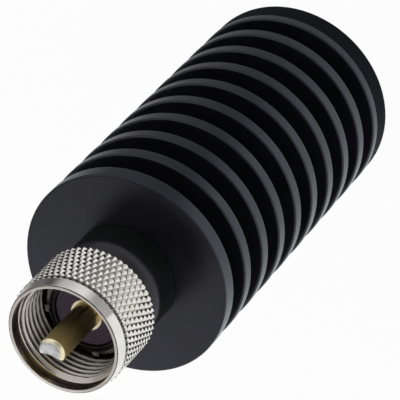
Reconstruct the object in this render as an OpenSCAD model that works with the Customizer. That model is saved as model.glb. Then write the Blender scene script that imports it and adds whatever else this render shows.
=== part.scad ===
// RF dummy load: a finned heat sink with a resistor inside and a coaxial plug on its front.
// Millimetres. The part stands on its rear face at z = 0, and the plug points along +Z.

/* [Heat sink] */
// Length of the heat sink, which the grooves share out between the fins
sink_len = 55.9; // [50:0.1:80]
// Outer diameter of the fins
fin_d = 32; // [28:0.5:40]
// Number of fins, the front and rear ones included
fin_count = 10; // [5:1:13]
// Thickness of the front fin
front_fin_t = 2.7; // [1.5:0.1:5]
// Thickness of the fins between the front and rear ones
fin_t = 2.1; // [1:0.1:4]
// Thickness of the rear fin, which the end cap closes
rear_fin_t = 1.75; // [1:0.05:4]
// Diameter of the core at the bottom of the grooves
core_d = 21; // [18:0.5:26]
// Diameter of the bore that holds the resistor
bore_d = 13; // [12:0.1:15]
// Chamfer that breaks the fins' edges
fin_break = 0.15; // [0.05:0.05:0.5]

/* [End cap] */
// Step from the fins' edge in to the end cap's edge
cap_step = 0.1; // [0:0.05:2]
// Thickness of the end cap's disc
cap_t = 4; // [2:0.1:8]
// Rounding of the end cap's rear edge
cap_round = 0.8; // [0.2:0.1:1.5]
// Length of the spigot that plugs the bore
spigot_len = 4; // [2:0.5:8]

/* [Collar] */
// Diameter of the collar
collar_d = 16.1; // [15:0.1:20]
// Height of the collar above the front fin
collar_len = 7.6; // [5:0.1:12]
// Height of the chamfer on the collar's front
collar_chamfer = 2.2; // [0.5:0.1:3.5]
// Width of the collar's front face outside the plug's neck
collar_face_w = 0.4; // [0.2:0.1:1]
// Depth of the collar's shank in the heat sink's bore
collar_shank = 8; // [4:0.5:12]
// Chamfer on the collar's edge at the front fin
collar_break = 0.2; // [0.05:0.05:0.4]

/* [Plug body] */
// Outer diameter of the contact sleeve
sleeve_d = 12; // [11:0.1:12.4]
// Wall of the contact sleeve around the insulator
sleeve_wall = 0.9; // [0.5:0.05:1.5]
// Length of the contact sleeve in front of the shoulder
sleeve_len = 1.35; // [0.8:0.05:3]
// Thickness of the shoulder that keeps the nut on
shoulder_t = 1; // [0.6:0.1:2]
// Height of the shoulder over the neck that the nut turns on
shoulder_step = 0.85; // [0.5:0.05:1]
// Diameter of the shank inside the collar
shank_d = 9.2; // [7:0.1:10]
// Length of the shank behind the collar's front face
shank_len = 13.5; // [8:0.5:15]
// Bore of the shank
shank_bore_d = 4.4; // [3:0.1:5.5]
// Number of locating teeth on the shoulder
tooth_count = 4; // [2:1:8]
// Width of a locating tooth
tooth_w = 1.3; // [0.8:0.1:2]
// Height of a locating tooth
tooth_h = 0.7; // [0.3:0.1:1.2]

/* [Coupling nut] */
// Step from the smooth ring out to the knurl's points
knurl_step = 0.2; // [0.05:0.05:0.4]
// Depth of the knurl
knurl_depth = 0.36; // [0.1:0.02:0.4]
// Number of diamonds round the knurl
knurl_count = 57; // [24:1:80]
// Number of diamonds along the knurl
knurl_rows = 4; // [3:1:12]
// Length of the knurl, from the nut's rear edge
knurl_len = 8.85; // [4:0.05:9.2]
// Length of the nut
nut_len = 10.65; // [9.9:0.05:16]
// Width of the nut's lip at its front face
lip_w = 0.35; // [0.2:0.05:1.5]
// Length of the chamfer behind the lip
lip_chamfer_len = 0.1; // [0.05:0.05:0.6]
// Height of the chamfer from the lip out to the smooth ring
lip_chamfer_h = 0.18; // [0.1:0.02:0.6]
// Taper of the smooth ring: how far it widens from the chamfer back to the knurl
ring_taper = 0.27; // [0:0.01:0.4]
// Step from the thread's inner diameter out to the smooth entry
entry_step = 0.65; // [0.5:0.05:1]
// Depth of the smooth entry
entry_depth = 1.9; // [0.6:0.1:3]
// Inner diameter of the nut's thread
thread_minor_d = 14.8; // [14.4:0.05:15.2]
// Thickness of the flange at the nut's rear
nut_flange_t = 1; // [0.6:0.1:2]
// Chamfer on the nut's rear edge
nut_break = 0.15; // [0.1:0.05:0.6]

/* [Insulator and pin] */
// Depth of the insulator's face behind the contact sleeve's rim
insulator_recess = 0.6; // [0.2:0.05:1]
// Thickness of the insulator
insulator_t = 2.5; // [1.5:0.1:4]
// Number of turned rings in the insulator's face
face_rings = 3; // [1:1:4]
// Depth of a turned ring
face_ring_depth = 0.12; // [0.05:0.01:0.3]
// Diameter of the centre pin
pin_d = 3.96; // [3.5:0.01:4.2]
// Length of the centre pin in front of the insulator
pin_len = 11.2; // [8:0.1:14]
// Chamfer at the tip of the centre pin
pin_chamfer = 0.35; // [0.1:0.05:0.5]
// Step from the pin out to its flange's edge
pin_flange_step = 0.52; // [0.3:0.02:1]
// Thickness of the pin's flange
pin_flange_t = 0.6; // [0.3:0.1:1.2]
// Wall of the hollow pin
pin_wall = 0.58; // [0.5:0.02:0.9]
// Wall of the hollow pin inside the insulator
pin_stub_wall = 0.3; // [0.2:0.02:0.5]
// Length of the solder window cut into the pin's tip
window_len = 2.6; // [1.5:0.1:4]
// Distance of the solder window from the pin's axis
window_offset = 0.42; // [0.2:0.02:1]
// Radius of the solder window's hollow
window_r = 4; // [2.5:0.5:8]
// Direction of the solder window about the pin's axis
window_turn = 118.4; // [0:0.1:360]
// Depth of the solder in the pin
solder_len = 4.9; // [3:0.1:7]
// Height of the solder's cap over the pin's end
solder_cap = 0.1; // [0.05:0.01:0.3]

/* [Resistor] */
// Diameter of the ceramic rod
rod_d = 9; // [7:0.1:10]
// Wall of the ferrules on the rod's ends
ferrule_wall = 0.4; // [0.2:0.05:0.8]
// Length of the ferrules
ferrule_len = 4.5; // [3:0.1:6]
// Thickness of the ferrules' end plates
ferrule_plate = 1; // [0.5:0.1:2]
// Free length of wire between the front ferrule and the collar
feed_gap = 4.3; // [2:0.1:8]
// Diameter of the wire into the pin
lead_d = 1.2; // [0.8:0.1:1.6]
// Height of the spring washer behind the rear ferrule
spring_h = 1.6; // [1:0.1:3]
// Thickness of the spring washer
spring_t = 0.5; // [0.3:0.05:0.8]

/* [Fits] */
// Clearance on the radius between pieces that are pressed or screwed together
seat_clear = 0.03; // [0.02:0.01:0.08]
// Clearance on the radius between the nut and the plug body
nut_play = 0.35; // [0.2:0.05:0.4]
// Play along the axis between the nut's flange and the shoulder
nut_end_play = 0.3; // [0.2:0.05:0.6]
// Gap between the nut's rear face and the collar
nut_gap = 0.85; // [0.3:0.05:1.5]

/* [Hidden] */
$fn = 96;
// How far a cut runs past the face that it opens
overrun = 1;
// How deep the knurl is bedded in the nut's wall
knurl_bed = 0.05;

// Radii
fin_r = fin_d / 2;
core_r = core_d / 2;
bore_r = bore_d / 2;
cap_r = fin_r - cap_step;
thread_minor_r = thread_minor_d / 2;
entry_r = thread_minor_r + entry_step;
lip_r = entry_r + lip_w;
ring_front_r = lip_r + lip_chamfer_h;
ring_r = ring_front_r + ring_taper;
knurl_r = ring_r + knurl_step;
knurl_root_r = knurl_r - knurl_depth;
shoulder_r = thread_minor_r - nut_play;
neck_r = shoulder_r - shoulder_step;
nut_flange_r = neck_r + nut_play;
collar_r = collar_d / 2;
collar_face_r = neck_r + collar_face_w;
shank_r = shank_d / 2;
shank_bore_r = shank_bore_d / 2;
sleeve_r = sleeve_d / 2;
sleeve_bore_r = sleeve_r - sleeve_wall;
pin_r = pin_d / 2;
pin_bore_r = pin_r - pin_wall;
pin_stub_r = pin_bore_r + pin_stub_wall;
pin_flange_r = pin_r + pin_flange_step;
lead_r = lead_d / 2;
rod_r = rod_d / 2;
ferrule_r = rod_r + seat_clear + ferrule_wall;

// Heights along the axis, from the rear face to the tip of the pin
fins_t = rear_fin_t + (fin_count - 2) * fin_t + front_fin_t;
groove_w = (sink_len - fins_t) / (fin_count - 1);
fin_pitch = fin_t + groove_w;
front_z = cap_t + sink_len;
collar_z = front_z + collar_len;
nut_z = collar_z + nut_gap;
nut_flange_z = nut_z + nut_flange_t;
shoulder_z = nut_flange_z + nut_end_play;
sleeve_z = shoulder_z + shoulder_t;
rim_z = sleeve_z + sleeve_len;
insulator_z = rim_z - insulator_recess;
seat_z = insulator_z - insulator_t;
nut_front_z = nut_z + nut_len;
tip_z = insulator_z + pin_len;
pin_end_z = tip_z - solder_cap;
window_z = tip_z - window_len;
shank_z = collar_z - shank_len;
lead_end_z = window_z - seat_clear;

// Heights of the resistor, which the spring washer pushes off the end cap
spring_z = cap_t + spigot_len;
rod_rear_z = spring_z + spring_h;
rod_front_z = front_z - collar_shank - feed_gap;

// Where a fin starts, and how thick it is; fin 0 is the rear one
function fin_z(i) = cap_t + (i == 0 ? 0 : rear_fin_t + groove_w + (i - 1) * fin_pitch);
function fin_thickness(i) = i == 0 ? rear_fin_t : i == fin_count - 1 ? front_fin_t : fin_t;

// Outline of one fin, from its foot on the core to its foot on the other side
function fin_outline(i) =
    let (low = fin_z(i), high = low + fin_thickness(i))
    [
        [i == 0 ? bore_r : core_r, low],
        [fin_r - fin_break, low],
        [fin_r, low + fin_break],
        [fin_r, high - fin_break],
        [fin_r - fin_break, high],
        [i == fin_count - 1 ? bore_r : core_r, high]
    ];

// Points of a quarter circle about a centre, between two angles
function arc(centre, r, from, to, steps = 8) =
    [for (i = [0 : steps]) let (a = from + (to - from) * i / steps) centre + r * [cos(a), sin(a)]];

// A ring with square edges
module ring(outer_r, inner_r, low, high) {
    translate([0, 0, low])
        difference() {
            cylinder(r = outer_r, h = high - low);
            translate([0, 0, -overrun])
                cylinder(r = inner_r, h = high - low + 2 * overrun);
        }
}

module heat_sink() {
    color("#2c2e35")
        rotate_extrude()
            polygon([for (i = [0 : fin_count - 1]) each fin_outline(i)]);
}

module end_cap() {
    spigot_r = bore_r - seat_clear;
    color("#1f2024")
        rotate_extrude()
            polygon(concat(
                [[0, 0]],
                arc([cap_r - cap_round, cap_round], cap_round, -90, 0),
                [
                    [cap_r, cap_t - fin_break],
                    [cap_r - fin_break, cap_t],
                    [spigot_r, cap_t],
                    [spigot_r, spring_z],
                    [0, spring_z]
                ]
            ));
}

module collar() {
    shank_seat_r = shank_r + seat_clear;
    outer_r = bore_r - seat_clear;
    low = front_z - collar_shank;
    color("#1b1d1b")
        rotate_extrude()
            polygon([
                [shank_seat_r, low],
                [outer_r, low],
                [outer_r, front_z],
                [collar_r - collar_break, front_z],
                [collar_r, front_z + collar_break],
                [collar_r, collar_z - collar_chamfer],
                [collar_face_r, collar_z],
                [shank_seat_r, collar_z]
            ]);
}

// One tooth on the shoulder, between the contact sleeve and the shoulder's edge
module locating_tooth() {
    intersection() {
        ring(shoulder_r, sleeve_r - seat_clear, sleeve_z - seat_clear, sleeve_z + tooth_h);
        translate([0, -tooth_w / 2, sleeve_z - shoulder_t])
            cube([shoulder_r, tooth_w, shoulder_t + tooth_h]);
    }
}

module plug_body() {
    color("#c9c8c4") {
        rotate_extrude()
            polygon([
                [shank_bore_r, shank_z],
                [shank_r, shank_z],
                [shank_r, collar_z],
                [neck_r, collar_z],
                [neck_r, shoulder_z],
                [shoulder_r, shoulder_z],
                [shoulder_r, sleeve_z],
                [sleeve_r, sleeve_z],
                [sleeve_r, rim_z],
                [sleeve_bore_r, rim_z],
                [sleeve_bore_r, seat_z],
                [shank_bore_r, seat_z]
            ]);
        for (i = [0 : tooth_count - 1])
            rotate(360 * (i + 0.5) / tooth_count)
                locating_tooth();
    }
}

// The diamond knurl: rings of points that stand out and lie back by turns, so that every point that
// stands out is the tip of a four-sided pyramid, and the grooves cross between the points that lie back.
// The first and last rings lie back all round.
module knurl(low, high, inner_r) {
    columns = 2 * knurl_count;
    rows = 2 * knurl_rows;
    inner = columns * (rows + 1);
    function is_tip(i, j) = (i + j) % 2 == 1;
    function radius(i, j) = is_tip(i, j) && j > 0 && j < rows ? knurl_r : knurl_root_r;
    function point(r, i, z) = [r * cos(360 * i / columns), r * sin(360 * i / columns), z];
    function at(i, j) = i % columns + columns * j;
    outer_points = [
        for (j = [0 : rows], i = [0 : columns - 1])
            point(radius(i, j), i, low + (high - low) * j / rows)
    ];
    inner_points = [for (z = [low, high], i = [0 : columns - 1]) point(inner_r, i, z)];
    outer_faces = [
        for (j = [0 : rows - 1], i = [0 : columns - 1])
            let (a = at(i, j), b = at(i + 1, j), c = at(i + 1, j + 1), d = at(i, j + 1))
            each is_tip(i, j) ? [[a, d, b], [b, d, c]] : [[a, c, b], [a, d, c]]
    ];
    ring_faces = [
        for (i = [0 : columns - 1])
            let (p = inner + i, q = inner + (i + 1) % columns)
            each [
                [at(i, 0), at(i + 1, 0), q, p],
                [p, q, q + columns, p + columns],
                [p + columns, q + columns, at(i + 1, rows), at(i, rows)]
            ]
    ];
    polyhedron(points = concat(outer_points, inner_points), faces = concat(outer_faces, ring_faces));
}

module coupling_nut() {
    wall_r = knurl_root_r - knurl_bed;
    knurl_z = nut_z + nut_break;
    knurl_end_z = nut_z + knurl_len;
    entry_z = nut_front_z - entry_depth;
    color("#d6d6d3") {
        rotate_extrude()
            polygon([
                [nut_flange_r, nut_z],
                [wall_r - nut_break, nut_z],
                [wall_r, knurl_z],
                [wall_r, knurl_end_z],
                [ring_r, knurl_end_z],
                [ring_front_r, nut_front_z - lip_chamfer_len],
                [lip_r, nut_front_z],
                [entry_r, nut_front_z],
                [entry_r, entry_z],
                [thread_minor_r, entry_z - entry_step],
                [thread_minor_r, nut_flange_z],
                [nut_flange_r, nut_flange_z]
            ]);
        knurl(knurl_z, knurl_end_z + knurl_bed, (thread_minor_r + wall_r) / 2);
    }
}

module insulator() {
    outer_r = sleeve_bore_r - seat_clear;
    inner_r = pin_stub_r + seat_clear;
    ring_pitch = (outer_r - pin_flange_r) / (2 * face_rings + 1);
    color("#3d2c3a")
        difference() {
            ring(outer_r, inner_r, seat_z, insulator_z);
            for (i = [0 : face_rings - 1]) {
                groove_r = pin_flange_r + ring_pitch * (2 * i + 1);
                ring(groove_r + ring_pitch, groove_r, insulator_z - face_ring_depth, insulator_z + overrun);
            }
        }
}

// The hollow cut that opens one side of the pin's tip
module solder_window() {
    rotate(window_turn)
        translate([window_offset + window_r, 0, window_z])
            cylinder(r = window_r, h = window_len + overrun);
}

module centre_pin() {
    flange_z = insulator_z + pin_flange_t;
    color("#c9a552")
        difference() {
            rotate_extrude()
                polygon([
                    [pin_bore_r, seat_z],
                    [pin_stub_r, seat_z],
                    [pin_stub_r, insulator_z],
                    [pin_flange_r, insulator_z],
                    [pin_flange_r, flange_z],
                    [pin_r, flange_z],
                    [pin_r, pin_end_z - pin_chamfer],
                    [pin_r - pin_chamfer, pin_end_z],
                    [pin_bore_r, pin_end_z]
                ]);
            solder_window();
        }
}

module pin_solder() {
    plug_r = pin_bore_r - seat_clear;
    low = tip_z - solder_len;
    color("#cfd0d4")
        difference() {
            union() {
                translate([0, 0, low])
                    cylinder(r = plug_r, h = solder_len);
                translate([0, 0, pin_end_z])
                    cylinder(r = pin_r - pin_chamfer, h = solder_cap);
            }
            solder_window();
            translate([0, 0, low - overrun])
                cylinder(r = lead_r + seat_clear, h = lead_end_z + seat_clear - low + overrun);
        }
}

module resistor_lead() {
    color("#b8743c")
        translate([0, 0, rod_front_z])
            cylinder(r = lead_r, h = lead_end_z - rod_front_z);
}

module lead_bead() {
    color("#eeeeea")
        ring(shank_bore_r - seat_clear, lead_r + seat_clear, shank_z, seat_z);
}

module resistor_core() {
    low = rod_rear_z + ferrule_plate;
    color("#d9d2c3")
        translate([0, 0, low])
            cylinder(r = rod_r, h = rod_front_z - ferrule_plate - low);
}

// A cup with its plate at the bottom
module ferrule() {
    difference() {
        cylinder(r = ferrule_r, h = ferrule_len);
        translate([0, 0, ferrule_plate])
            cylinder(r = rod_r + seat_clear, h = ferrule_len);
    }
}

module front_ferrule() {
    color("#c4c2bb")
        translate([0, 0, rod_front_z])
            mirror([0, 0, 1])
                ferrule();
}

module rear_ferrule() {
    color("#c4c2bb")
        translate([0, 0, rod_rear_z])
            ferrule();
}

module thermal_sleeve() {
    color("#8e9aa6")
        ring(bore_r - seat_clear, rod_r + seat_clear, rod_rear_z + ferrule_len, rod_front_z - ferrule_len);
}

module ground_spring() {
    outer_r = rod_r;
    inner_r = rod_r / 2;
    color("#b9ad8a")
        rotate_extrude()
            polygon([
                [inner_r, spring_z],
                [inner_r + spring_t, spring_z],
                [outer_r, rod_rear_z - spring_t],
                [outer_r, rod_rear_z],
                [outer_r - spring_t, rod_rear_z],
                [inner_r, spring_z + spring_t]
            ]);
}

heat_sink();
end_cap();
collar();
plug_body();
coupling_nut();
insulator();
centre_pin();
pin_solder();
resistor_lead();
lead_bead();
resistor_core();
front_ferrule();
rear_ferrule();
thermal_sleeve();
ground_spring();
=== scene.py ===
"""Looks of an RF dummy load: a finned heat sink, an end cap, a collar and a coaxial plug with its nut."""

from math import acos, atan2, cos, pi, radians, sin, tan

import bmesh
import bpy
import numpy as np
from mathutils import Matrix, Vector


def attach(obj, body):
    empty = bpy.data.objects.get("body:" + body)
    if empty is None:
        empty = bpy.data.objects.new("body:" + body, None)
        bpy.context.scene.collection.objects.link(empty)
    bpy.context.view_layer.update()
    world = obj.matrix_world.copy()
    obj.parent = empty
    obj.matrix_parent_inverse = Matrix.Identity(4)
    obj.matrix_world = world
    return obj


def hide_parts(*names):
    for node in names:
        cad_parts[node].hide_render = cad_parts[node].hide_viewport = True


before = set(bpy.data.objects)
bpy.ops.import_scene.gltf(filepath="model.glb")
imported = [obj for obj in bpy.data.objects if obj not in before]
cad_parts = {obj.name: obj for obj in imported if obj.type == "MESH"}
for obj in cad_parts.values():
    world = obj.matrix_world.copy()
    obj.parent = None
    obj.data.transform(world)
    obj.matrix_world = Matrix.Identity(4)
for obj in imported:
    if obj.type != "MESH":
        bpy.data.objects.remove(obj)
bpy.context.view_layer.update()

MM = 0.001

# How finely the shapes are drawn
COLUMNS = 192
PIN_COLUMNS = 128
CUTTER_COLUMNS = 256
SHARP_ANGLE = radians(50)
WINDOW_SHARP_ANGLE = radians(35)
CRISP_ANGLE = radians(8)  # bend at which an edge of the knurl is sharp
ON_AXIS = 1e-6  # radius that counts as none
FILLET_SHARE = 0.45  # most of a straight that a fillet takes
LEVEL_DIGITS = 6  # digits to which two diagonals are compared

# Sizes are in millimetres. R is a radius, and Z is a height over the rear face.
SEAT_CLEAR = 0.03  # between pieces that sit in each other

# Fillets of small edges
HAIR = 0.03
KEEN = 0.05
FINE = 0.08
SMALL = 0.1
EASED = 0.12
SOFT = 0.2
ROUND = 0.3

# Heat sink and end cap
FIN_R = 16.0
CORE_R = 10.5
BORE_R = 6.5
SINK_Z = 4.0
FRONT_Z = 59.9
FIN_COUNT = 10
REAR_FIN_T = 1.75
FIN_T = 2.1
FRONT_FIN_T = 2.7
FIN_ROUND = 0.28
CAP_R = 15.9
CAP_ROUND = 0.8
SPIGOT_Z = 8.0

# Collar
COLLAR_R = 8.05
COLLAR_FACE_R = 6.6
COLLAR_Z = 67.5
COLLAR_CHAMFER_Z = 65.3
COLLAR_SHANK_Z = 51.9
COLLAR_ROUND = 3.0

# Plug body, with its locating teeth
SHANK_R = 4.6
SHANK_BORE_R = 2.2
SHANK_Z = 54.0
NECK_R = 6.2
SHOULDER_R = 7.05
SHOULDER_Z = 69.65
SHOULDER_ROUND = 0.15
SLEEVE_R = 6.0
SLEEVE_BORE_R = 5.1
SLEEVE_Z = 70.65
RIM_Z = 72.0
RIM_ROUND = 0.18
SEAT_Z = 68.9
TOOTH_COUNT = 4
TOOTH_W = 1.3
TOOTH_H = 0.7
TOOTH_INSET = 0.12
TOOTH_HALF_INSET = 0.04

# Coupling nut: its ends
NUT_Z = 68.35
NUT_REAR_CHAMFER = 0.17
NUT_REAR_ROUND = 0.06
NUT_FLANGE_R = 6.55
NUT_FLANGE_Z = 69.35
NUT_FRONT_Z = 79.0
RING_R = 8.85
RING_FRONT_R = 8.58
RING_END_Z = 78.9
LIP_R = 8.4
LIP_ROUND = 0.02
ENTRY_R = 8.05
ENTRY_Z = 77.1
ENTRY_ROUND = 0.06

# Painted dark line between the ring and the lip, in place of shade on the chamfer: where it fades in,
# starts, ends and fades out across the chamfer
DARK_LINE = (0.1, 0.18, 0.85, 0.93)

# Coupling nut: its knurl, with painted shade in the grooves and more of it beside the ring
KNURL_Z = 68.5
KNURL_END_Z = 77.2
KNURL_R = 9.05
KNURL_ROOT_R = 8.69
KNURL_STEP = 0.02  # from the plain rows to the knurl
KNURL_COUNT = 57  # diamonds round the nut
KNURL_ROWS = 4  # diamonds along it
KNURL_STEPS = 4  # points in half a diamond
KNURL_BLUNT = 0.9  # share of the height at which tips are cut off
KNURL_ROOT_SHADE = 0.5  # painted shade at the roots
KNURL_SHADE_TOP = 0.15  # share of the height where it ends
KNURL_DARK_LEN = 0.6  # length of the end with more painted shade
KNURL_DARK_TOP = 0.8  # shares of the height where its painted shade ends and is full
KNURL_DARK_FULL = 0.4

# Coupling nut: its thread
THREAD_MINOR_R = 7.4
THREAD_MAJOR_R = 7.94
THREAD_PITCH = 25.4 / 24
THREAD_END_Z = 70.4
THREAD_FOOT = 0.3  # height over the flange where the plain bore ends
THREAD_STOP = 0.35  # height over the flange above which the thread has rows
THREAD_CREST = 0.26  # shares of the pitch that are flat
THREAD_ROOT = 0.12
THREAD_STEPS = 18  # rows in a pitch
THREAD_SHADE_TOP = 0.3  # shares of the depth where painted shade starts and is full
THREAD_SHADE_FULL = 0.85
THREAD_CUT = 0.001  # depth that counts as cut

# Insulator
INSULATOR_Z = 71.4
FACE_RINGS = 3
FACE_RING_DEPTH = 0.12
FACE_RING_SLOPE = 0.06

# Centre pin, with the window in its tip
PIN_R = 1.98
PIN_BORE_R = 1.4
PIN_STUB_R = 1.7
PIN_FLANGE_R = 2.5
PIN_FLANGE_Z = 72.0
PIN_END_Z = 82.5
PIN_CHAMFER = 0.35
TIP_Z = 82.6
WINDOW_Z = 80.0
WINDOW_R = 4.0
WINDOW_OFFSET = 0.42
WINDOW_TURN = radians(118.4)
CUTTER_OVER = 1  # how far the window's cutter stands over the tip

# Solder in the pin, which has spilled to one side
SOLDER_Z = 77.7
LEAD_R = 0.63
LEAD_END_Z = 80.0
SPILL_TURN = radians(38)  # where the spill points
SPILL_DEPTH = 0.015  # how far under the pin's end it starts
SPILL_FOCUS = 3  # power that keeps it to its side
SPILL_NARROWEST = 0.9  # share of its width that the dome keeps opposite
SPILL_WIDER = 0.3  # share that the spill adds to that
SPILL_DROP = 0.3  # how far its edge hangs down, at most
SPILL_HANG = 16  # power that keeps the drop to the edge


# Shapes

def rounded(corners, closed=True, steps=4, support=0.03):
    """Points (r, z, edge) of an outline with its corners (r, z, fillet) rounded.

    The outline runs counter-clockwise. edge is 1 in the middle of an outer fillet, -1 in the middle of an
    inner one, and 0 on the straights, which get a supporting point beside each fillet.
    """
    points = []
    count = len(corners)
    for i, (r, z, fillet) in enumerate(corners):
        here = np.array((r, z))
        if not fillet or not closed and i in (0, count - 1):
            points.append((r, z, 0.0))
            continue
        back = np.array(corners[i - 1][:2]) - here
        ahead = np.array(corners[(i + 1) % count][:2]) - here
        back_len, ahead_len = np.linalg.norm(back), np.linalg.norm(ahead)
        back, ahead = back / back_len, ahead / ahead_len
        opening = acos(np.clip(back @ ahead, -1, 1))
        reach = min(fillet / tan(opening / 2), FILLET_SHARE * back_len, FILLET_SHARE * ahead_len)
        side = 1.0 if ahead[0] * back[1] - ahead[1] * back[0] > 0 else -1.0
        middle = (back + ahead) / np.linalg.norm(back + ahead)
        centre = here + middle * reach / cos(opening / 2)
        start, end = here + back * reach - centre, here + ahead * reach - centre
        sweep = pi - opening
        if reach + support < FILLET_SHARE * back_len:
            points.append((*(here + back * (reach + support)), 0.0))
        for k in range(steps + 1):
            t = k / steps
            p = centre + (sin((1 - t) * sweep) * start + sin(t * sweep) * end) / sin(sweep)
            points.append((*p, side * sin(pi * t)))
        if reach + support < FILLET_SHARE * ahead_len:
            points.append((*(here + ahead * (reach + support)), 0.0))
    return points


def smooth_faces(mesh, sharp_angle):
    """Shades a mesh smooth, with sharp edges by angle."""
    mesh.polygons.foreach_set("use_smooth", [True] * len(mesh.polygons))
    mesh.set_sharp_from_angle(angle=sharp_angle)


def new_piece(name, points, faces, edge):
    """Object from points in millimetres, with smooth faces and the edge attribute."""
    mesh = bpy.data.meshes.new(name)
    mesh.from_pydata([tuple(p) for p in np.asarray(points) * MM], [], faces)
    attribute = mesh.attributes.new("edge", "FLOAT", "POINT")
    attribute.data.foreach_set("value", np.asarray(edge, np.float32))
    smooth_faces(mesh, SHARP_ANGLE)
    piece = bpy.data.objects.new(name, mesh)
    bpy.context.scene.collection.objects.link(piece)
    return piece


def turned(name, outline, columns=COLUMNS):
    """Solid of an outline of (r, z, edge) points turned about the Z axis."""
    turn = np.arange(columns) * 2 * pi / columns
    points, edges, rows = [], [], []
    for r, z, edge in outline:
        first = len(points)
        if r < ON_AXIS:
            points.append((0.0, 0.0, z))
            rows.append([first] * columns)
        else:
            points.extend(zip(r * np.cos(turn), r * np.sin(turn), np.full(columns, z)))
            rows.append(list(range(first, first + columns)))
        edges.extend([edge] * (len(points) - first))
    faces = []
    for low, high in zip(rows, rows[1:] + rows[:1]):
        for i in range(columns):
            j = (i + 1) % columns
            corners = list(dict.fromkeys((low[i], low[j], high[j], high[i])))
            if len(corners) > 2:
                faces.append(corners)
    return new_piece(name, points, faces, edges)


def woven(name, r, z, edge):
    """Solid whose rows of points change round the axis: r, z and edge are arrays of rows by columns.

    Each patch is split along its more level diagonal, or the lower one, to keep grooves and crests whole.
    """
    rows, columns = r.shape
    turn = np.arange(columns) * 2 * pi / columns
    points = np.stack((r * np.cos(turn), r * np.sin(turn), z), axis=-1).reshape(-1, 3)
    index = np.arange(rows * columns).reshape(rows, columns)
    a, r_a = index, r
    b, r_b = np.roll(index, -1, 1), np.roll(r, -1, 1)
    c, r_c = np.roll(b, -1, 0), np.roll(r_b, -1, 0)
    d, r_d = np.roll(index, -1, 0), np.roll(r, -1, 0)
    fall_ac = np.abs(r_a - r_c).round(LEVEL_DIGITS)
    fall_bd = np.abs(r_b - r_d).round(LEVEL_DIGITS)
    by_ac = np.where(fall_ac == fall_bd, r_a + r_c <= r_b + r_d, fall_ac < fall_bd)
    faces = []
    for a, b, c, d, split in zip(a.flat, b.flat, c.flat, d.flat, by_ac.flat):
        faces += [(a, b, c), (a, c, d)] if split else [(a, b, d), (b, c, d)]
    return new_piece(name, points, np.array(faces).tolist(), edge.reshape(-1))


def crisp_edges(piece, first, last):
    """Marks every bent edge between the points first..last as sharp."""
    shape = bmesh.new()
    shape.from_mesh(piece.data)
    for edge in shape.edges:
        if all(first <= p.index < last for p in edge.verts) and edge.calc_face_angle(0) > CRISP_ANGLE:
            edge.smooth = False
    shape.to_mesh(piece.data)
    shape.free()


def heat_sink():
    """Fins of three thicknesses on a core, with equal grooves between them."""
    fins = [REAR_FIN_T] + [FIN_T] * (FIN_COUNT - 2) + [FRONT_FIN_T]
    groove = (FRONT_Z - SINK_Z - REAR_FIN_T - FIN_T * (FIN_COUNT - 2) - FRONT_FIN_T) / (FIN_COUNT - 1)
    inner_end, root = (BORE_R, SMALL), (CORE_R, ROUND)
    corners = []
    low = SINK_Z
    for i, thickness in enumerate(fins):
        high = low + thickness
        low_r, low_fillet = inner_end if i == 0 else root
        high_r, high_fillet = inner_end if i == FIN_COUNT - 1 else root
        corners += [
            (low_r, low, low_fillet),
            (FIN_R, low, FIN_ROUND),
            (FIN_R, high, FIN_ROUND),
            (high_r, high, high_fillet),
        ]
        low = high + groove
    return turned("heat_sink_fins", rounded(corners))


def end_cap():
    """A disc with a spigot in the heat sink's bore."""
    spigot_r = BORE_R - SEAT_CLEAR
    return turned("end_cap_disc", rounded([
        (0, 0, 0),
        (CAP_R, 0, CAP_ROUND),
        (CAP_R, SINK_Z, ROUND),
        (spigot_r, SINK_Z, KEEN),
        (spigot_r, SPIGOT_Z, SMALL),
        (0, SPIGOT_Z, 0),
    ]))


def collar():
    """A boss with a softly rounded shoulder, and its shank in the heat sink's bore."""
    seat_r = SHANK_R + SEAT_CLEAR
    shank_r = BORE_R - SEAT_CLEAR
    return turned("collar_ring", rounded([
        (seat_r, COLLAR_SHANK_Z, SMALL),
        (shank_r, COLLAR_SHANK_Z, SMALL),
        (shank_r, FRONT_Z, KEEN),
        (COLLAR_R, FRONT_Z, SOFT),
        (COLLAR_R, COLLAR_CHAMFER_Z, COLLAR_ROUND),
        (COLLAR_FACE_R, COLLAR_Z, EASED),
        (seat_r, COLLAR_Z, FINE),
    ]))


def tooth_points(turn_by):
    """Points and faces of one locating tooth on the plug's shoulder, with rounded upper edges."""
    half = TOOTH_W / 2
    low, high = SLEEVE_Z - SEAT_CLEAR, SLEEVE_Z + TOOTH_H
    one_side = [(half - TOOTH_INSET, 0), (half - TOOTH_HALF_INSET, TOOTH_HALF_INSET), (half, TOOTH_INSET)]
    sections = [(-y, inset) for y, inset in reversed(one_side)] + one_side
    points, faces = [], []
    for y, inset in sections:
        outline = rounded([
            (SLEEVE_R - SEAT_CLEAR, low, 0),
            (SHOULDER_R - inset, low, 0),
            (SHOULDER_R - inset, high - inset, EASED),
            (SLEEVE_R - SEAT_CLEAR, high - inset, 0),
        ])
        for r, z, _ in outline:
            x = (r * r - y * y) ** 0.5
            points.append((x * cos(turn_by) - y * sin(turn_by), x * sin(turn_by) + y * cos(turn_by), z))
    size = len(outline)
    for s in range(len(sections) - 1):
        for i in range(size):
            j = (i + 1) % size
            faces.append((s * size + i, (s + 1) * size + i, (s + 1) * size + j, s * size + j))
    faces.append(tuple(range(size)))
    faces.append(tuple(reversed(range((len(sections) - 1) * size, len(sections) * size))))
    return points, [tuple(reversed(f)) for f in faces]


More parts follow.
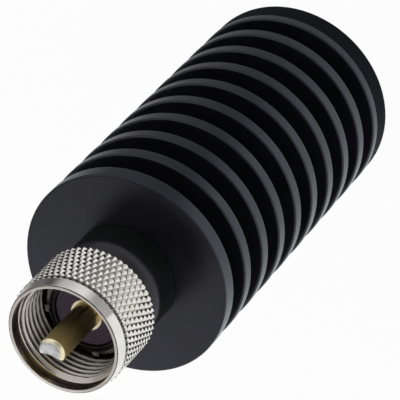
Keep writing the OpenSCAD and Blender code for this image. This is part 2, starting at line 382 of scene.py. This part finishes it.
def plug_body():
    """Shank, neck, shoulder and contact sleeve in one, with the teeth joined on."""
    body = turned("plug_shell", rounded([
        (SHANK_BORE_R, SHANK_Z, SMALL),
        (SHANK_R, SHANK_Z, SOFT),
        (SHANK_R, COLLAR_Z, KEEN),
        (NECK_R, COLLAR_Z, SMALL),
        (NECK_R, SHOULDER_Z, SMALL),
        (SHOULDER_R, SHOULDER_Z, EASED),
        (SHOULDER_R, SLEEVE_Z, SHOULDER_ROUND),
        (SLEEVE_R, SLEEVE_Z, SMALL),
        (SLEEVE_R, RIM_Z, RIM_ROUND),
        (SLEEVE_BORE_R, RIM_Z, EASED),
        (SLEEVE_BORE_R, SEAT_Z, KEEN),
        (SHANK_BORE_R, SEAT_Z, FINE),
    ]))
    teeth = []
    for i in range(TOOTH_COUNT):
        points, faces = tooth_points(2 * pi * (i + 0.5) / TOOTH_COUNT)
        teeth.append(new_piece(f"tooth_{i}", points, faces, [0.0] * len(points)))
    with bpy.context.temp_override(active_object=body, selected_editable_objects=[body, *teeth]):
        bpy.ops.object.join()
    return body


def ramp(low, high, x):
    """0 at low, 1 at high, and smooth between them."""
    t = np.clip((x - low) / (high - low), 0, 1)
    return t * t * (3 - 2 * t)


def coupling_nut():
    """The nut in rows: from its flange out over the knurl, the ring and the lip, and in along the thread."""
    columns = 2 * KNURL_COUNT * KNURL_STEPS
    turn = np.arange(columns) * 2 * pi / columns
    rows = []

    def plain_rows(corners, painted_shade=0.0):
        for r, z, edge in rounded(corners, closed=False):
            rows.append((np.full(columns, r), np.full(columns, z), np.full(columns, edge - painted_shade)))

    def on_chamfer(share):
        """A point between the ring's front edge and the lip."""
        r = RING_FRONT_R + share * (LIP_R - RING_FRONT_R)
        return r, RING_END_Z + share * (NUT_FRONT_Z - RING_END_Z), 0

    plain_rows([
        (THREAD_MINOR_R, NUT_FLANGE_Z + THREAD_FOOT, 0),
        (THREAD_MINOR_R, NUT_FLANGE_Z, SMALL),
        (NUT_FLANGE_R, NUT_FLANGE_Z, SMALL),
        (NUT_FLANGE_R, NUT_Z, EASED),
        (KNURL_ROOT_R - NUT_REAR_CHAMFER, NUT_Z, NUT_REAR_ROUND),
        (KNURL_ROOT_R - KNURL_STEP, KNURL_Z - KNURL_STEP, 0),
    ])
    knurl_start = len(rows)

    # Diamond knurl: two families of V-grooves cross, and every diamond keeps a slightly blunt tip
    steps = 2 * KNURL_ROWS * KNURL_STEPS
    across = np.arange(columns) / KNURL_STEPS
    for k in range(steps + 1):
        along = k / KNURL_STEPS
        right = ((across + along) / 2) % 1
        left = ((across - along) / 2) % 1
        height = np.minimum(1 - np.abs(2 * right - 1), 1 - np.abs(2 * left - 1))
        height = np.minimum(height, KNURL_BLUNT)
        z = KNURL_Z + (KNURL_END_Z - KNURL_Z) * k / steps
        r = KNURL_ROOT_R + (KNURL_R - KNURL_ROOT_R) * height
        # Painted shade in the roots of the knurl, and more of it near the ring, where the roots end
        shade_share = ramp(KNURL_SHADE_TOP, 0.0, height) * KNURL_ROOT_SHADE
        if z > KNURL_END_Z - KNURL_DARK_LEN:
            shade_share = ramp(KNURL_DARK_TOP, KNURL_DARK_FULL, height)
        rows.append((r, np.full(columns, z), -shade_share))
    knurl_end = len(rows)

    # Ring, painted dark line and lip
    fade_in, line_start, line_end, fade_out = (on_chamfer(share) for share in DARK_LINE)
    plain_rows([
        (RING_R, KNURL_END_Z + KNURL_STEP, 0),
        (RING_FRONT_R, RING_END_Z, HAIR),
        fade_in,
    ])
    # The line is painted dark, as shade, through the edge attribute
    plain_rows([line_start, line_end], painted_shade=1.0)
    plain_rows([
        fade_out,
        (LIP_R, NUT_FRONT_Z, LIP_ROUND),
        (ENTRY_R, NUT_FRONT_Z, ENTRY_ROUND),
        (ENTRY_R, ENTRY_Z, 0),
    ])

    # Thread: a helical groove with flat crests, which starts in the entry's cone and fades at its inner end
    step = THREAD_PITCH / THREAD_STEPS
    flanks = 1 - THREAD_CREST - THREAD_ROOT
    for z in np.arange(ENTRY_Z - step, NUT_FLANGE_Z + THREAD_STOP, -step):
        phase = (z / THREAD_PITCH - turn / (2 * pi)) % 1
        groove = np.clip((1 - np.abs(2 * phase - 1) - THREAD_CREST) / flanks, 0, 1)
        depth = (THREAD_MAJOR_R - THREAD_MINOR_R) * ramp(THREAD_END_Z, THREAD_END_Z + THREAD_PITCH, z)
        base = max(THREAD_MINOR_R, ENTRY_R - (ENTRY_Z - z))
        r = np.maximum(base, THREAD_MINOR_R + depth * groove)
        # Painted shade in the thread's grooves, where they are cut
        shade_share = ramp(THREAD_SHADE_TOP, THREAD_SHADE_FULL, groove) * (r > base + THREAD_CUT)
        rows.append((r, np.full(columns, z), -shade_share))

    r, z, edge = (np.array([row[i] for row in rows]) for i in range(3))
    nut = woven("coupling_nut_shell", r, z, edge)
    crisp_edges(nut, (knurl_start - 1) * columns, (knurl_end + 1) * columns)
    return nut


def insulator():
    """A disc with shallow ring grooves in its face."""
    outer_r, inner_r = SLEEVE_BORE_R - SEAT_CLEAR, PIN_STUB_R + SEAT_CLEAR
    pitch = (outer_r - PIN_FLANGE_R) / (2 * FACE_RINGS + 1)
    low = INSULATOR_Z - FACE_RING_DEPTH
    corners = [(inner_r, SEAT_Z, FINE), (outer_r, SEAT_Z, FINE), (outer_r, INSULATOR_Z, SMALL)]
    for i in reversed(range(FACE_RINGS)):
        groove_r = PIN_FLANGE_R + pitch * (2 * i + 1)
        corners += [
            (groove_r + pitch, INSULATOR_Z, KEEN),
            (groove_r + pitch - FACE_RING_SLOPE, low, KEEN),
            (groove_r + FACE_RING_SLOPE, low, KEEN),
            (groove_r, INSULATOR_Z, KEEN),
        ]
    corners.append((inner_r, INSULATOR_Z, KEEN))
    return turned("insulator_disc", rounded(corners, steps=3))


def cut_window(piece):
    """Cuts the solder window out of the side of the pin's tip."""
    top = TIP_Z + CUTTER_OVER
    outline = [(0, WINDOW_Z, 0), (WINDOW_R, WINDOW_Z, 0), (WINDOW_R, top, 0), (0, top, 0)]
    cutter = turned("window_cutter", outline, CUTTER_COLUMNS)
    reach = (WINDOW_OFFSET + WINDOW_R) * MM
    cutter.location = (reach * cos(WINDOW_TURN), reach * sin(WINDOW_TURN), 0)
    cut = piece.modifiers.new("window", "BOOLEAN")
    cut.object = cutter
    cut.solver = "EXACT"
    bpy.context.view_layer.update()
    evaluated = piece.evaluated_get(bpy.context.evaluated_depsgraph_get())
    result = bpy.data.meshes.new_from_object(evaluated)
    piece.modifiers.clear()
    piece.data = result
    smooth_faces(result, WINDOW_SHARP_ANGLE)
    bpy.data.objects.remove(cutter)
    return piece


def centre_pin():
    """The hollow pin with its flange, and the window cut out of its tip."""
    return cut_window(turned("centre_pin_tube", rounded([
        (PIN_BORE_R, SEAT_Z, KEEN),
        (PIN_STUB_R, SEAT_Z, KEEN),
        (PIN_STUB_R, INSULATOR_Z, HAIR),
        (PIN_FLANGE_R, INSULATOR_Z, SMALL),
        (PIN_FLANGE_R, PIN_FLANGE_Z, EASED),
        (PIN_R, PIN_FLANGE_Z, KEEN),
        (PIN_R, PIN_END_Z - PIN_CHAMFER, SMALL),
        (PIN_R - PIN_CHAMFER, PIN_END_Z, FINE),
        (PIN_BORE_R, PIN_END_Z, HAIR),
    ]), PIN_COLUMNS))


def pin_solder():
    """The fill of the pin's end: round the wire, up the bore, and over the end in a low dome."""
    plug_r = PIN_BORE_R - SEAT_CLEAR
    cap_r = PIN_R - PIN_CHAMFER
    # The dome, point by point from the pin's edge to the axis
    dome = [
        (cap_r, PIN_END_Z - 0.01, 0),
        (cap_r - 0.02, PIN_END_Z + 0.03, 0),
        (cap_r - 0.12, TIP_Z - 0.02, SMALL),
        (cap_r - 0.4, TIP_Z, 0),
        (0.6, TIP_Z - 0.01, 0),
        (0, TIP_Z - 0.03, 0),
    ]
    fill = turned("pin_solder_fill", rounded([
        (LEAD_R, SOLDER_Z, KEEN),
        (plug_r, SOLDER_Z, KEEN),
        (plug_r, PIN_END_Z - 0.02, 0),
        *dome,
        (0, LEAD_END_Z, 0),
        (LEAD_R, LEAD_END_Z, KEEN),
    ]), PIN_COLUMNS)
    # The dome is drawn in on one side and has run over the pin's edge on the other
    for p in fill.data.vertices:
        x, y, z = p.co / MM
        if z > PIN_END_Z - SPILL_DEPTH:
            run = ((1 + cos(atan2(y, x) - SPILL_TURN)) / 2) ** SPILL_FOCUS
            reach = (x * x + y * y) ** 0.5 / cap_r
            scale = SPILL_NARROWEST + SPILL_WIDER * run
            p.co = Vector((x * scale, y * scale, z - SPILL_DROP * run * reach ** SPILL_HANG)) * MM
    return cut_window(fill)


# Materials

class Nodes:
    """Nodes of a material or a world: add() makes one and fills its inputs with values or outputs."""

    def __init__(self, owner, coords="Object"):
        owner.use_nodes = True
        self.owner = owner
        self.tree = owner.node_tree
        self.tree.nodes.clear()
        self.coords = self.add("ShaderNodeTexCoord").outputs[coords]

    def add(self, kind, inputs=(), **settings):
        made = self.tree.nodes.new(kind)
        for key, value in settings.items():
            setattr(made, key, value)
        for key, value in dict(inputs).items():
            if isinstance(value, bpy.types.NodeSocket):
                self.tree.links.new(value, made.inputs[key])
            else:
                made.inputs[key].default_value = value
        return made

    def math(self, operation, *values):
        """The values taken together from left to right, two at a time."""
        result = values[0]
        for value in values[1:]:
            result = self.add("ShaderNodeMath", {0: result, 1: value}, operation=operation).outputs[0]
        return result

    def times(self, *values):
        return self.math("MULTIPLY", *values)

    def plus(self, *values):
        return self.math("ADD", *values)

    def noise(self, scale, detail, roughness=0.55, vector=None):
        inputs = {"Vector": vector or self.coords, "Scale": scale, "Detail": detail, "Roughness": roughness}
        return self.add("ShaderNodeTexNoise", inputs).outputs["Fac"]

    def spread(self, value, low, high, start=0.3, end=0.7, curve="LINEAR"):
        """Maps a value from start..end to low..high, and no further."""
        inputs = {"Value": value, "From Min": start, "From Max": end, "To Min": low, "To Max": high}
        return self.add("ShaderNodeMapRange", inputs, interpolation_type=curve).outputs[0]

    def zone(self, value, low, high, start, end):
        """spread() of a length, with its start and end in millimetres."""
        return self.spread(value, low, high, start * MM, end * MM)

    def mix(self, factor, first, second):
        inputs = {"Factor": factor, 6: first, 7: second}
        return self.add("ShaderNodeMix", inputs, data_type="RGBA").outputs[2]

    def mix_shaders(self, factor, first, second):
        inputs = {0: factor, 1: first.outputs[0], 2: second.outputs[0]}
        return self.add("ShaderNodeMixShader", inputs)

    def axes(self):
        return self.add("ShaderNodeSeparateXYZ", {0: self.coords}).outputs

    def cylinder_coords(self):
        """Distance from the axis and height along it."""
        x, y, z = self.axes()
        square = self.plus(self.times(x, x), self.times(y, y))
        return self.add("ShaderNodeMath", {0: square}, operation="SQRT").outputs[0], z

    def turned_coords(self, along_r, along_z):
        """Coordinates that are the same all round the axis, for tool marks left by turning."""
        radius, height = self.cylinder_coords()
        inputs = {0: self.times(radius, along_r), 1: self.times(height, along_z)}
        return self.add("ShaderNodeCombineXYZ", inputs).outputs[0]

    def edge(self, outer=True):
        """The outer edges, for wear and painted sheen, or the inner corners and grooves, for painted shade,
        from 0 to 1.
        """
        value = self.add("ShaderNodeAttribute", attribute_name="edge").outputs["Fac"]
        if not outer:
            value = self.times(value, -1.0)
        return self.math("MAXIMUM", value, 0.0)

    def bump(self, height, strength, distance, normal=None):
        inputs = {"Height": height, "Strength": strength, "Distance": distance}
        if normal:
            inputs["Normal"] = normal
        return self.add("ShaderNodeBump", inputs).outputs[0]

    def finish(self, **inputs):
        """Ends a material with a principled shader, and returns the material."""
        named = {key.replace("_", " "): value for key, value in inputs.items()}
        shader = self.add("ShaderNodeBsdfPrincipled", named)
        self.add("ShaderNodeOutputMaterial", {"Surface": shader.outputs[0]})
        return self.owner


def new_material(name):
    return Nodes(bpy.data.materials.new(name))


def black_finish(name, colour, pale, wear_and_sheen, roughness, grain, tint, specular=0.5, speck_scale=700):
    """Black over turned metal or plastic: faint turning marks, fine grain, and edges paler in specks: wear
    on the fins and cap, and a painted speckled sheen on the collar's shoulder.
    """
    m = new_material(name)
    marks = m.noise(1.0, 2.0, vector=m.turned_coords(2600, 2600))
    patches = m.noise(160, 4.0)
    fine = m.noise(grain, 2.0)
    # Paler specks on the edges: wear, and painted sheen where the pale colour is a highlight's
    rubbed_and_sheen = m.times(m.edge(), m.spread(m.noise(speck_scale, 3.0), 0.25, 1.0, 0.35, 0.65))
    base = m.mix(m.spread(patches, 0.0, 1.0), colour, pale)
    base = m.mix(m.times(rubbed_and_sheen, 0.8), base, wear_and_sheen)
    rough = m.plus(m.spread(patches, roughness - 0.04, roughness + 0.04), m.spread(marks, -0.01, 0.01))
    rough = m.math("SUBTRACT", rough, m.times(rubbed_and_sheen, 0.08))
    grained = m.bump(fine, strength=0.2, distance=0.00003)
    normal = m.bump(marks, strength=0.04, distance=0.00002, normal=grained)
    return m.finish(
        Base_Color=base, Roughness=rough, Normal=normal, Specular_Tint=tint, Specular_IOR_Level=specular,
    )


def nickel_finish():
    """Bright plate with soft polishing marks, painted darker with depth in the nut as shade, and painted
    dark as shade in its grooves and inner corners.
    """
    warm, bright = (0.785, 0.72, 0.655, 1), (0.88, 0.83, 0.77, 1)
    depth_shade, shade_dark = (0.11, 0.10, 0.087, 1), (0.02, 0.018, 0.015, 1)
    m = new_material("nickel_plate")
    marks = m.noise(1.0, 3.0, vector=m.turned_coords(900, 5200))
    cloud = m.noise(420, 4.0)
    radius, height = m.cylinder_coords()
    # Painted shade that deepens into the nut's bore
    inside = m.zone(radius, 1.0, 0.0, THREAD_MAJOR_R + 0.01, ENTRY_R - 0.02)
    depth = m.zone(height, 1.0, 0.4, THREAD_END_Z, ENTRY_Z - 0.6)
    bore_rough = m.zone(radius, 0.1, 0.0, ENTRY_R + 0.02, ENTRY_R + 0.06)
    # Painted shade in the grooves, the inner corners and the line before the lip
    painted_shade = m.spread(m.edge(outer=False), 0.0, 1.0, 0.1, 0.75)
    painted_shade = m.times(painted_shade, m.spread(m.noise(1500, 3.0), 0.7, 1.0))
    base = m.mix(m.spread(cloud, 0.0, 1.0), warm, bright)
    base = m.mix(m.times(inside, depth), base, depth_shade)
    base = m.mix(painted_shade, base, shade_dark)
    rough = m.plus(
        m.spread(cloud, 0.06, 0.11), m.spread(marks, -0.01, 0.03), bore_rough, m.times(painted_shade, 0.35),
    )
    normal = m.bump(marks, strength=0.06, distance=0.00001)
    return m.finish(Base_Color=base, Metallic=1.0, Roughness=rough, Normal=normal)


def shaded_plate_finish():
    """Plate of the plug's body: painted nearly black on the sleeve as shade, with a painted highlight in
    specks on its rim, and pale outside it.
    """
    # The sleeve's near-black colours are painted shade, for it sits deep in the nut
    dark, lighter = (0.028, 0.026, 0.027, 1), (0.055, 0.052, 0.052, 1)
    pale = (0.88, 0.86, 0.83, 1)
    m = new_material("plug_plate_painted_shade")
    marks = m.noise(1.0, 3.0, vector=m.turned_coords(2400, 2400))
    cloud = m.noise(700, 4.0)
    radius, _ = m.cylinder_coords()
    outside = m.zone(radius, 0.0, 1.0, SLEEVE_R - 0.02, SLEEVE_R + 0.06)
    rim = m.zone(radius, 0.0, 1.5, SLEEVE_R - 0.2, SLEEVE_R - 0.16)
    specks = m.spread(m.noise(1600, 2.0), 0.2, 1.0, 0.4, 0.5)
    # Painted highlight in specks along the sleeve's rim edge
    rim_highlight = m.times(m.edge(), rim, specks)
    base = m.mix(m.spread(cloud, 0.0, 1.0), dark, lighter)
    base = m.mix(m.math("MAXIMUM", outside, rim_highlight), base, pale)
    rough = m.plus(m.spread(cloud, 0.16, 0.26), m.spread(marks, -0.04, 0.04), m.times(rim_highlight, 0.2))
    normal = m.bump(marks, strength=0.1, distance=0.00002)
    return m.finish(Base_Color=base, Metallic=1.0, Roughness=rough, Normal=normal)


def gold_finish():
    """Gold plate, brown in streaks of tarnish and painted shade that darken towards the pin's root, with a
    painted highlight in pale cream at both ends.
    """
    deep, light = (0.92, 0.74, 0.32, 1), (0.97, 0.82, 0.41, 1)
    tarnish_and_shade_brown, highlight_cream = (0.20, 0.13, 0.05, 1), (0.96, 0.87, 0.60, 1)
    chamfer_z = PIN_END_Z - PIN_CHAMFER
    m = new_material("pin_gold_plate")
    height = m.axes()[2]
    cloud = m.noise(500, 5.0, 0.6)
    stretched = m.add("ShaderNodeVectorMath", {0: m.coords, 1: (900, 900, 110)}, operation="MULTIPLY")
    streaks = m.noise(1.0, 3.0, vector=stretched.outputs[0])
    # Painted shade, with tarnish streaks, that deepens towards the root, down in the nut
    root = m.zone(height, 1.0, 0.05, PIN_FLANGE_Z + 2.5, PIN_END_Z - 3)
    # Painted highlight in pale cream on the tip's chamfer and on the flange
    tip = m.zone(height, 0.0, 1.0, chamfer_z - 0.08, chamfer_z)
    flange = m.zone(height, 1.0, 0.0, PIN_FLANGE_Z, PIN_FLANGE_Z + 0.06)
    tarnish_and_shade = m.times(root, m.spread(streaks, 0.3, 1.0, 0.38, 0.6))
    base = m.mix(m.spread(cloud, 0.0, 1.0), deep, light)
    base = m.mix(tarnish_and_shade, base, tarnish_and_shade_brown)
    base = m.mix(m.math("MAXIMUM", tip, flange), base, highlight_cream)
    rough = m.plus(m.spread(cloud, 0.28, 0.34), m.times(tarnish_and_shade, 0.1))
    rough = m.times(rough, m.spread(flange, 1.0, 0.35, 0.0, 1.0))
    normal = m.bump(streaks, strength=0.03, distance=0.00001)
    return m.finish(Base_Color=base, Metallic=1.0, Roughness=rough, Normal=normal)


def solder_finish():
    """Frozen tin: bright and uneven."""
    grey, bright = (0.52, 0.55, 0.55, 1), (0.92, 0.91, 0.93, 1)
    m = new_material("tin_solder")
    lumps = m.noise(1400, 4.0)
    grains = m.add("ShaderNodeTexVoronoi", {"Vector": m.coords, "Scale": 2600}).outputs["Distance"]
    base = m.mix(m.spread(lumps, 0.0, 1.0), grey, bright)
    rough = m.spread(grains, 0.28, 0.42, 0.0, 0.8)
    grained = m.bump(grains, strength=0.15, distance=0.00004)
    normal = m.bump(lumps, strength=0.35, distance=0.00012, normal=grained)
    return m.finish(Base_Color=base, Metallic=1.0, Roughness=rough, Normal=normal)


def insulator_finish():
    """Purple-brown moulded phenolic with turned rings, and painted shade in the inner corners of its
    grooves.
    """
    deep, light = (0.110, 0.074, 0.120, 1), (0.190, 0.140, 0.205, 1)
    groove = (0.018, 0.012, 0.018, 1)
    m = new_material("phenolic_brown")
    rings = m.noise(1.0, 3.0, vector=m.turned_coords(6000, 300))
    speck = m.noise(2400, 3.0)
    base = m.mix(m.spread(rings, 0.0, 1.0), deep, light)
    # Painted shade in the inner corners of the ring grooves
    base = m.mix(m.times(m.edge(outer=False), 0.7), base, groove)
    rough = m.spread(rings, 0.32, 0.48)
    specked = m.bump(speck, strength=0.12, distance=0.00002)
    normal = m.bump(rings, strength=0.3, distance=0.00003, normal=specked)
    return m.finish(Base_Color=base, Roughness=rough, Normal=normal)


def inner_finish(name, dark, light, metallic, roughness, scale):
    """Finish of a piece inside the heat sink."""
    m = new_material(name)
    cloud = m.noise(scale, 4.0)
    grain = m.noise(scale * 6, 2.0)
    base = m.mix(m.spread(cloud, 0.0, 1.0), dark, light)
    rough = m.spread(cloud, roughness - 0.06, roughness + 0.06)
    normal = m.bump(grain, strength=0.15, distance=0.00003)
    return m.finish(Base_Color=base, Metallic=metallic, Roughness=rough, Normal=normal)


# Pieces on their bodies

anodise = black_finish(
    "black_anodise",
    colour=(0.0056, 0.0058, 0.0088, 1),
    pale=(0.0078, 0.0080, 0.0118, 1),
    wear_and_sheen=(0.015, 0.015, 0.019, 1),
    roughness=0.28,
    grain=5200,
    tint=(0.83, 0.84, 1.0, 1),
)
cap_black = black_finish(
    "matt_black",
    colour=(0.0062, 0.0064, 0.0090, 1),
    pale=(0.0094, 0.0098, 0.0132, 1),
    wear_and_sheen=(0.02, 0.02, 0.022, 1),
    roughness=0.65,
    grain=3400,
    tint=(0.82, 0.86, 1.0, 1),
    specular=0.05,
)
collar_black = black_finish(
    "semi_gloss_black",
    colour=(0.0042, 0.0048, 0.0042, 1),
    pale=(0.007, 0.0076, 0.007, 1),
    # Pale in specks on the rounded shoulder: a painted speckled sheen
    wear_and_sheen=(0.030, 0.027, 0.036, 1),
    roughness=0.34,
    grain=4200,
    tint=(0.95, 0.92, 1.0, 1),
    speck_scale=2200,
)

for make, node, body, slot, finish in (
    (heat_sink, "heat_sink", "load", "sink_anodise", anodise),
    (end_cap, "end_cap", "load", "cap_black", cap_black),
    (collar, "collar", "load", "collar_black", collar_black),
    (plug_body, "plug_body", "load", "nickel", shaded_plate_finish()),
    (coupling_nut, "coupling_nut", "nut", "nickel", nickel_finish()),
    (insulator, "insulator", "load", "insulator_brown", insulator_finish()),
    (centre_pin, "centre_pin", "load", "pin_gold", gold_finish()),
    (pin_solder, "pin_solder", "load", "solder", solder_finish()),
):
    piece = make()
    piece.data.materials.clear()
    piece.data.materials.append(finish)
    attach(piece, body)
    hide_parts(node)

# Pieces inside keep the shapes of the source: nodes, finish, two colours, metallic, roughness, noise scale
for nodes, name, dark, light, metallic, roughness, scale in (
    (["resistor_lead"], "bare_copper", (0.5, 0.22, 0.11, 1), (0.7, 0.34, 0.18, 1), 1.0, 0.3, 900),
    (["lead_bead"], "bead_white", (0.78, 0.78, 0.75, 1), (0.88, 0.88, 0.85, 1), 0.0, 0.5, 500),
    (["resistor_core"], "fired_ceramic", (0.72, 0.68, 0.6, 1), (0.82, 0.79, 0.71, 1), 0.0, 0.6, 600),
    (["front_ferrule", "rear_ferrule"],
     "ferrule_tin", (0.55, 0.54, 0.51, 1), (0.72, 0.71, 0.68, 1), 1.0, 0.35, 700),
    (["thermal_sleeve"], "filled_silicone", (0.34, 0.38, 0.42, 1), (0.45, 0.49, 0.53, 1), 0.0, 0.7, 400),
    (["ground_spring"], "spring_bronze", (0.46, 0.38, 0.22, 1), (0.62, 0.53, 0.33, 1), 1.0, 0.28, 800),
):
    finish = inner_finish(name, dark, light, metallic, roughness, scale)
    for node in nodes:
        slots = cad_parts[node].data.materials
        slots.clear()
        slots.append(finish)


# Camera, at the photograph's angle

scene = bpy.context.scene
camera_data = bpy.data.cameras.new("camera")
camera_data.sensor_width = 36
camera_data.lens = 271.3
camera = bpy.data.objects.new("camera", camera_data)
tilt, roll, distance = radians(38.669), radians(-136.484), 0.45113
aim = Vector((-0.00044, 0, 0.03559))
turn = Matrix.Rotation(tilt, 4, "X") @ Matrix.Rotation(roll, 4, "Z")
camera.matrix_world = Matrix.Translation(aim + turn.to_3x3() @ Vector((0, 0, distance))) @ turn
scene.collection.objects.link(camera)
scene.camera = camera


# Floor, lamp and surround

def ray_kinds(m):
    """Outputs that are 1 for a ray from the camera, and for a ray that a shiny or clear surface sends on."""
    path = m.add("ShaderNodeLightPath").outputs
    return path["Is Camera Ray"], m.math("MAXIMUM", path["Is Glossy Ray"], path["Is Transmission Ray"])


def floor_level(m):
    """How bright reflections show the floor, from zones of it in metres.

    It is white on the right of the photograph, at -X, and far off. It is painted dim as shade on the left,
    at +X, and in a patch at -Y, as the painted shadow of the camera's stand.
    """
    x, y, _ = m.axes()
    radius, _ = m.cylinder_coords()
    left = m.spread(y, 0.37, 0.65, 0.0, 0.025)
    side = m.spread(x, 1.0, left, -0.012, 0.017)
    far = m.times(m.spread(radius, 0.2, 0.95, 0.095, 0.145), m.spread(x, 1.0, 0.65, 0.09, 0.14))
    # Painted shade on the left and in front
    dim_shade = m.times(m.spread(x, 0.0, 1.0, 0.045, 0.085), m.spread(y, 0.0, 1.0, -0.05, -0.01))
    # Painted shadow of the camera's stand
    stand_shadow = m.times(
        m.spread(x, 0.0, 1.0, -0.068, -0.063),
        m.spread(x, 1.0, 0.0, 0.02, 0.06),
        m.spread(y, 1.0, 0.0, -0.09, -0.075),
        m.spread(y, 0.0, 1.0, -0.165, -0.15),
    )
    return m.times(
        m.math("MAXIMUM", side, far),
        m.spread(dim_shade, 1.0, 0.25, 0.0, 1.0),
        m.spread(stand_shadow, 1.0, 0.45, 0.0, 1.0),
    )


def make_floor():
    """A white sheet, a hair under the part, which can be looked through from below.

    A trace of its shading stays in view, which keeps the part's shadow.
    """
    grey, pale = (0.84, 0.84, 0.84, 1), (0.87, 0.87, 0.87, 1)
    cool_white = (0.92, 0.97, 1.0, 1)
    white_share = 0.96
    half, z = 2.0, -0.00005
    m = new_material("floor_white")
    from_camera, sent_on = ray_kinds(m)
    speck = m.spread(m.noise(60, 3.0), 0.0, 1.0)
    paper = m.add("ShaderNodeBsdfDiffuse", {"Color": m.mix(speck, grey, pale)})
    mirrored = m.add("ShaderNodeEmission", {"Color": cool_white, "Strength": floor_level(m)})
    white = m.add("ShaderNodeEmission", {"Strength": 1.0})
    clear = m.add("ShaderNodeBsdfTransparent")
    under = m.add("ShaderNodeNewGeometry").outputs["Backfacing"]
    top = m.mix_shaders(sent_on, paper, mirrored)
    top = m.mix_shaders(m.times(from_camera, white_share), top, white)
    both = m.mix_shaders(under, top, clear)
    m.add("ShaderNodeOutputMaterial", {"Surface": both.outputs[0]})
    mesh = bpy.data.meshes.new("floor")
    corners = [(-half, -half, z), (half, -half, z), (half, half, z), (-half, half, z)]
    mesh.from_pydata(corners, [], [(0, 1, 2, 3)])
    mesh.materials.append(m.owner)
    floor = bpy.data.objects.new("floor", mesh)
    scene.collection.objects.link(floor)


def soft_box(name, location, target, size, power):
    """A flat lamp that the camera doesn't see."""
    lamp = bpy.data.lights.new(name, "AREA")
    lamp.shape = "RECTANGLE"
    lamp.size, lamp.size_y = size
    lamp.energy = power
    box = bpy.data.objects.new(name, lamp)
    box.location = location
    box.rotation_euler = (Vector(target) - Vector(location)).to_track_quat("-Z", "Y").to_euler()
    box.visible_camera = False
    scene.collection.objects.link(box)


def make_world():
    """A studio, pale on both sides and behind, dim overhead and round the camera, and white in view."""
    white = (1, 1, 1, 1)
    m = Nodes(bpy.data.worlds.new("studio"), "Generated")
    x, y, z = m.axes()
    overhead = m.spread(z, 0.6, 0.3, 0.15, 0.45, "SMOOTHSTEP")
    right = m.spread(x, 0.9, 0.0, -0.55, -0.2, "SMOOTHSTEP")
    left = m.spread(x, 0.0, 0.8, 0.2, 0.55, "SMOOTHSTEP")
    left = m.times(left, m.spread(y, 1.0, 0.4, 0.0, 0.5, "SMOOTHSTEP"))
    behind = m.spread(y, 0.0, 0.5, 0.25, 0.6, "SMOOTHSTEP")
    level = m.math("MAXIMUM", overhead, right, left, behind)
    studio = m.add("ShaderNodeBackground", {"Color": white, "Strength": level})
    in_view = m.add("ShaderNodeBackground", {"Color": white, "Strength": 1.0})
    from_camera, _ = ray_kinds(m)
    both = m.mix_shaders(from_camera, studio, in_view)
    m.add("ShaderNodeOutputWorld", {"Surface": both.outputs[0]})
    scene.world = m.owner


make_floor()
make_world()
soft_box("top_back", location=(-0.02, 0.175, 0.173), target=(0, 0, 0.06), size=(0.12, 0.12), power=0.032)

scene.view_settings.view_transform = "Standard"
